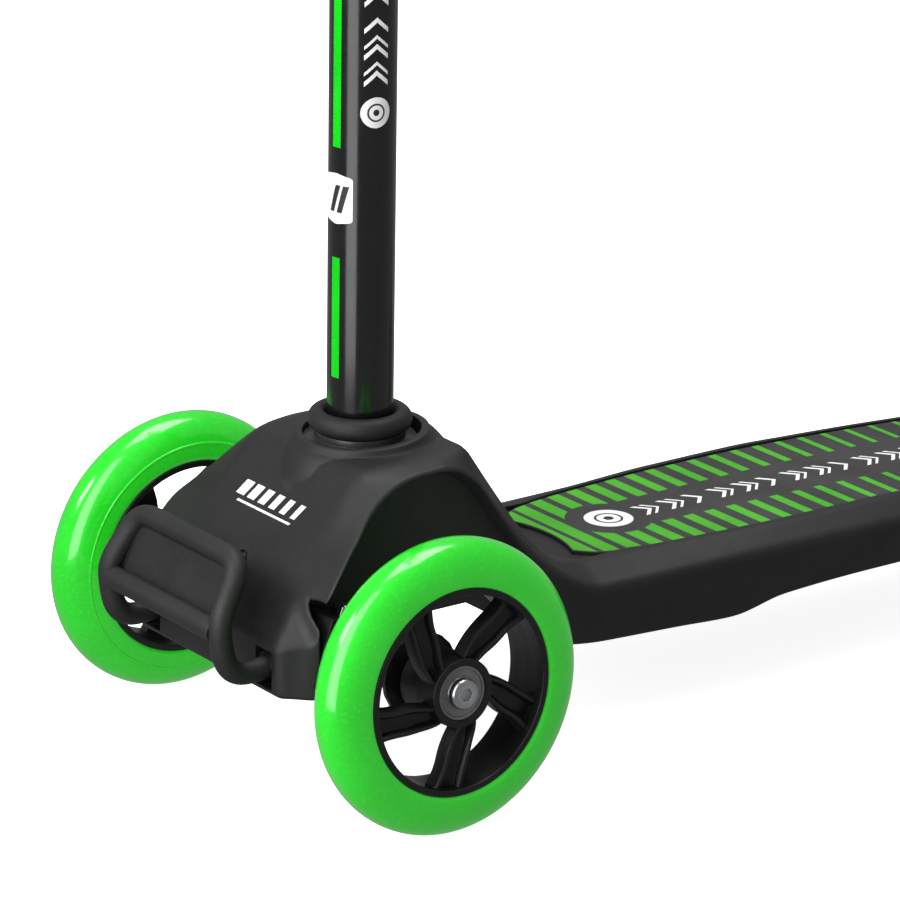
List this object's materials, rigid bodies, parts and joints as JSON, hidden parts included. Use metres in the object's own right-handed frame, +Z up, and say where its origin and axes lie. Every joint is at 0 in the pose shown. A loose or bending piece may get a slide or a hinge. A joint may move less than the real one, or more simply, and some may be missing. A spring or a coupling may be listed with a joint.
{
  "type": "kick scooter",
  "caption": "Children's three-wheeled lean-to-steer kick scooter with a wide front axle, moulded deck, height-adjustable T-bar, front stem latch and sprung rear brake",
  "frame": {"origin": "middle of the bounding box, on the floor under the deck", "axes": "-Y is the way it rolls forward, +X is its left side, +Z is up"},
  "size_m": [0.276, 0.5682, 0.6744],
  "materials": {
    "axle_bolt_left": "zinc plated or brushed steel",
    "axle_bolt_rear": "zinc plated or brushed steel",
    "axle_bolt_right": "zinc plated or brushed steel",
    "axle_nut_left": "zinc plated or brushed steel",
    "axle_nut_rear": "zinc plated or brushed steel",
    "axle_nut_right": "zinc plated or brushed steel",
    "bar_tee": "black moulded nylon",
    "beam_screw_left": "zinc plated or brushed steel",
    "beam_screw_right": "zinc plated or brushed steel",
    "bearing_inner_left": "zinc plated or brushed steel",
    "bearing_inner_rear": "zinc plated or brushed steel",
    "bearing_inner_right": "zinc plated or brushed steel",
    "bearing_outer_left": "zinc plated or brushed steel",
    "bearing_outer_rear": "zinc plated or brushed steel",
    "bearing_outer_right": "zinc plated or brushed steel",
    "bearing_spacer_left": "zinc plated or brushed steel",
    "bearing_spacer_rear": "zinc plated or brushed steel",
    "bearing_spacer_right": "zinc plated or brushed steel",
    "brake_fender": "black sprung plastic mudguard",
    "brake_pin": "zinc plated or brushed steel",
    "brake_spring": "zinc plated or brushed steel",
    "clamp_bolt": "zinc plated or brushed steel",
    "clamp_lever": "black glass-filled nylon",
    "clamp_pivot": "zinc plated or brushed steel",
    "deck_shell": "fine grained moulded nylon, dark grey-black",
    "front_beam": "black powder coat on folded steel",
    "grip_left": "bright green ribbed soft grip",
    "grip_mat": "grained dark grey mat with printed green bars",
    "grip_right": "bright green ribbed soft grip",
    "handlebar": "satin black coated tube",
    "height_clamp": "black coated aluminium",
    "kingpin_bush_left": "black rubber centring washer",
    "kingpin_bush_right": "black rubber centring washer",
    "kingpin_left": "zinc plated or brushed steel",
    "kingpin_nut_left": "zinc plated or brushed steel",
    "kingpin_nut_right": "zinc plated or brushed steel",
    "kingpin_right": "zinc plated or brushed steel",
    "knuckle_left": "black glass-filled nylon",
    "knuckle_right": "black glass-filled nylon",
    "latch_lever": "matt black overmoulded bow",
    "latch_pin": "zinc plated or brushed steel",
    "latch_spring": "zinc plated or brushed steel",
    "lever_pin_left": "zinc plated or brushed steel",
    "lever_pin_right": "zinc plated or brushed steel",
    "lower_tube": "satin black coat on aluminium tube, green stripe",
    "rear_washer_left": "zinc plated or brushed steel",
    "rear_washer_right": "zinc plated or brushed steel",
    "rim_left": "black satin moulded wheel core",
    "rim_rear": "black satin moulded wheel core",
    "rim_right": "black satin moulded wheel core",
    "stem_collar": "soft black rubber",
    "stem_plug": "moulded black nylon",
    "stem_socket": "black coated steel sleeve",
    "tie_rod": "zinc plated or brushed steel",
    "tube_bush": "moulded black nylon",
    "tyre_left": "translucent bright green cast polyurethane",
    "tyre_rear": "translucent bright green cast polyurethane",
    "tyre_right": "translucent bright green cast polyurethane",
    "upper_tube": "brushed anodised aluminium"
  },
  "bodies": {
    "chassis": {"deck_shell": "deck_shell", "grip_mat": "grip_mat", "front_beam": "front_beam", "beam_screw_left": "beam_screw_left", "beam_screw_right": "beam_screw_right", "kingpin_left": "kingpin_left", "kingpin_right": "kingpin_right", "kingpin_nut_left": "kingpin_nut_left", "kingpin_nut_right": "kingpin_nut_right", "kingpin_bush_left": "kingpin_bush_left", "kingpin_bush_right": "kingpin_bush_right", "stem_socket": "stem_socket", "lever_pin_left": "lever_pin_left", "lever_pin_right": "lever_pin_right", "latch_spring": "latch_spring", "axle_bolt_rear": "axle_bolt_rear", "axle_nut_rear": "axle_nut_rear", "rear_washer_left": "rear_washer_left", "rear_washer_right": "rear_washer_right", "brake_pin": "brake_pin", "brake_spring": "brake_spring", "lower_tube": "lower_tube", "stem_plug": "stem_plug", "stem_collar": "stem_collar", "height_clamp": "height_clamp", "tube_bush": "tube_bush", "clamp_bolt": "clamp_bolt", "clamp_pivot": "clamp_pivot"},
    "clamp_lever": {"clamp_lever": "clamp_lever"},
    "t_bar": {"upper_tube": "upper_tube", "bar_tee": "bar_tee", "handlebar": "handlebar", "grip_left": "grip_left", "grip_right": "grip_right"},
    "latch_lever": {"latch_lever": "latch_lever"},
    "latch_pin": {"latch_pin": "latch_pin"},
    "knuckle_left": {"knuckle_left": "knuckle_left", "axle_bolt_left": "axle_bolt_left", "axle_nut_left": "axle_nut_left"},
    "wheel_left": {"tyre_left": "tyre_left", "rim_left": "rim_left", "bearing_outer_left": "bearing_outer_left", "bearing_inner_left": "bearing_inner_left", "bearing_spacer_left": "bearing_spacer_left"},
    "knuckle_right": {"knuckle_right": "knuckle_right", "axle_bolt_right": "axle_bolt_right", "axle_nut_right": "axle_nut_right"},
    "wheel_right": {"tyre_right": "tyre_right", "rim_right": "rim_right", "bearing_outer_right": "bearing_outer_right", "bearing_inner_right": "bearing_inner_right", "bearing_spacer_right": "bearing_spacer_right"},
    "tie_rod": {"tie_rod": "tie_rod"},
    "wheel_rear": {"tyre_rear": "tyre_rear", "rim_rear": "rim_rear", "bearing_outer_rear": "bearing_outer_rear", "bearing_inner_rear": "bearing_inner_rear", "bearing_spacer_rear": "bearing_spacer_rear"},
    "brake": {"brake_fender": "brake_fender"}
  },
  "joints": [
    {"name": "bar_height", "type": "slide", "parent": "chassis", "child": "t_bar", "axis": [0, 0, 1], "range_m": [0, 0.14]},
    {"name": "clamp_lever_turn", "type": "hinge", "parent": "chassis", "child": "clamp_lever", "pos_m": [0.017, -0.161, 0.466], "axis": [0, -1, 0], "range_deg": [0, 110]},
    {"name": "latch_lever_pull", "type": "hinge", "parent": "chassis", "child": "latch_lever", "pos_m": [0, -0.2525, 0.0615], "axis": [1, 0, 0], "range_deg": [0, 25], "stiffness_Nm_per_rad": 0.4, "springref_deg": -20.05},
    {"name": "latch_pin_draw", "type": "slide", "parent": "chassis", "child": "latch_pin", "axis": [0, -1, 0], "range_m": [0, 0.008], "deforming": ["latch_spring"]},
    {"name": "steer_left", "type": "hinge", "parent": "chassis", "child": "knuckle_left", "pos_m": [0.049, -0.23, 0.064], "axis": [0, 0.342, 0.9397], "range_deg": [-14, 14], "stiffness_Nm_per_rad": 6},
    {"name": "wheel_spin_left", "type": "hinge", "parent": "knuckle_left", "child": "wheel_left", "pos_m": [0.0955, -0.21, 0.05996], "axis": [0.999, 0, 0.0436], "continuous": true},
    {"name": "steer_right", "type": "hinge", "parent": "chassis", "child": "knuckle_right", "pos_m": [-0.049, -0.23, 0.064], "axis": [0, 0.342, 0.9397], "range_deg": [-14, 14], "stiffness_Nm_per_rad": 6},
    {"name": "wheel_spin_right", "type": "hinge", "parent": "knuckle_right", "child": "wheel_right", "pos_m": [-0.0955, -0.21, 0.05996], "axis": [0.999, 0, -0.0436], "continuous": true},
    {"name": "tie_rod_pivot", "type": "hinge", "parent": "knuckle_left", "child": "tie_rod", "pos_m": [0.049, -0.20526, 0.0501], "axis": [0, 0.342, 0.9397], "range_deg": [-14, 14]},
    {"name": "wheel_spin_rear", "type": "hinge", "parent": "chassis", "child": "wheel_rear", "pos_m": [0, 0.242, 0.04], "axis": [1, 0, 0], "continuous": true},
    {"name": "brake_press", "type": "hinge", "parent": "chassis", "child": "brake", "pos_m": [0, 0.202, 0.06], "axis": [-1, 0, 0], "range_deg": [0, 5.5], "stiffness_Nm_per_rad": 3, "springref_deg": -5.73}
  ],
  "couplings": [
    {"joint": "steer_right", "follows": "steer_left", "ratio": 1},
    {"joint": "tie_rod_pivot", "follows": "steer_left", "ratio": -1},
    {"joint": "latch_pin_draw", "follows": "latch_lever_pull", "m_per_rad": 0.018}
  ]
}
